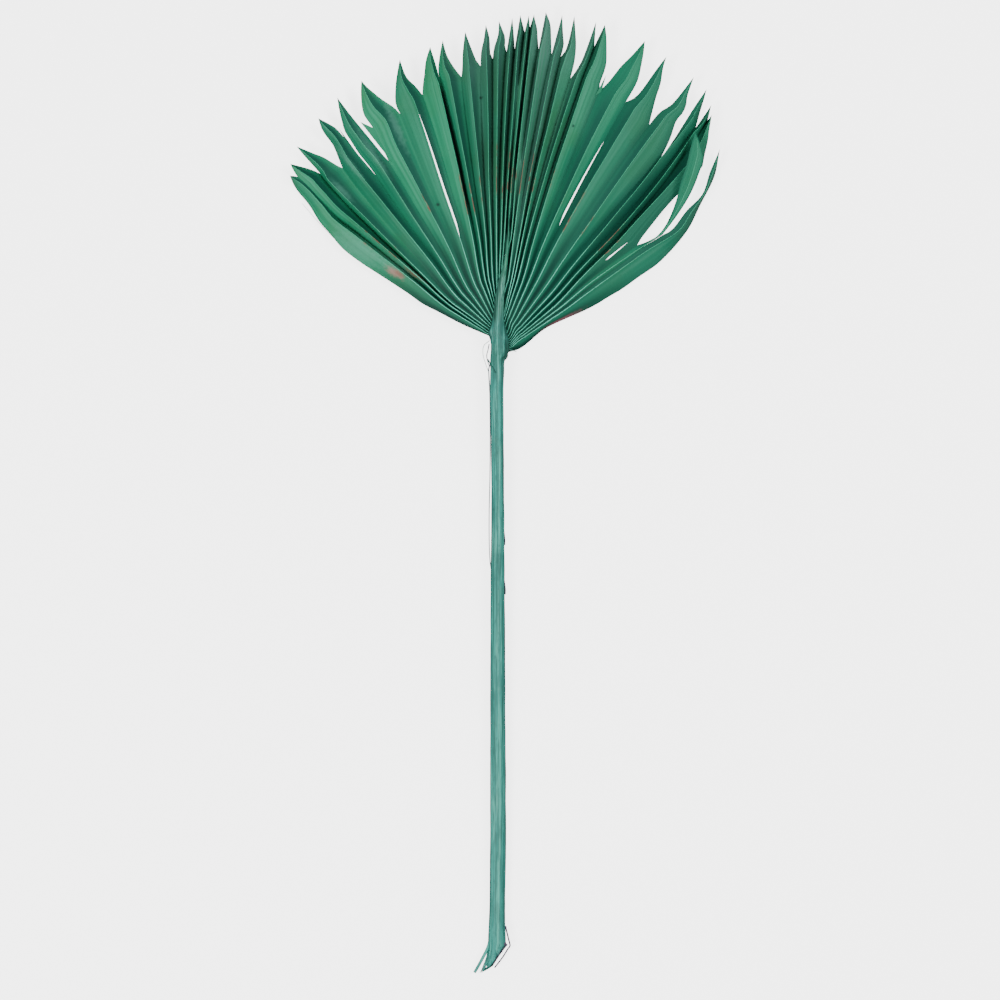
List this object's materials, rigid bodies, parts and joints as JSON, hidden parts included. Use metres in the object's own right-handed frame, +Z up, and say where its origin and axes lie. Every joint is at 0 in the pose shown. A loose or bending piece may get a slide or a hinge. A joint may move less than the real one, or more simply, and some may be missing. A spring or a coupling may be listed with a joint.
{
  "type": "dried palm spear",
  "caption": "Dried, green-dyed fan palm leaf cut with its long round stalk: a pleated fan of pointed leaflets spread from the stalk's swollen top, lying flat.",
  "frame": {"origin": "middle of the leaf's footprint, on the surface that it lies on", "axes": "+Y from the cut end of the stalk to the tips of the fan, +Z up out of the ribbed back of the fan, +X to the right of the fan as the picture shows it"},
  "size_m": [0.2462, 0.5504, 0.02],
  "materials": {
    "dried_stalk": "satin, ridged along its length, pale blue-green dye over straw",
    "dyed_blade": "satin, finely veined dry leaf, deep green dye"
  },
  "bodies": {
    "root": {"leaf_stalk": "dried_stalk", "fan_blade": "dyed_blade"}
  },
  "joints": []
}
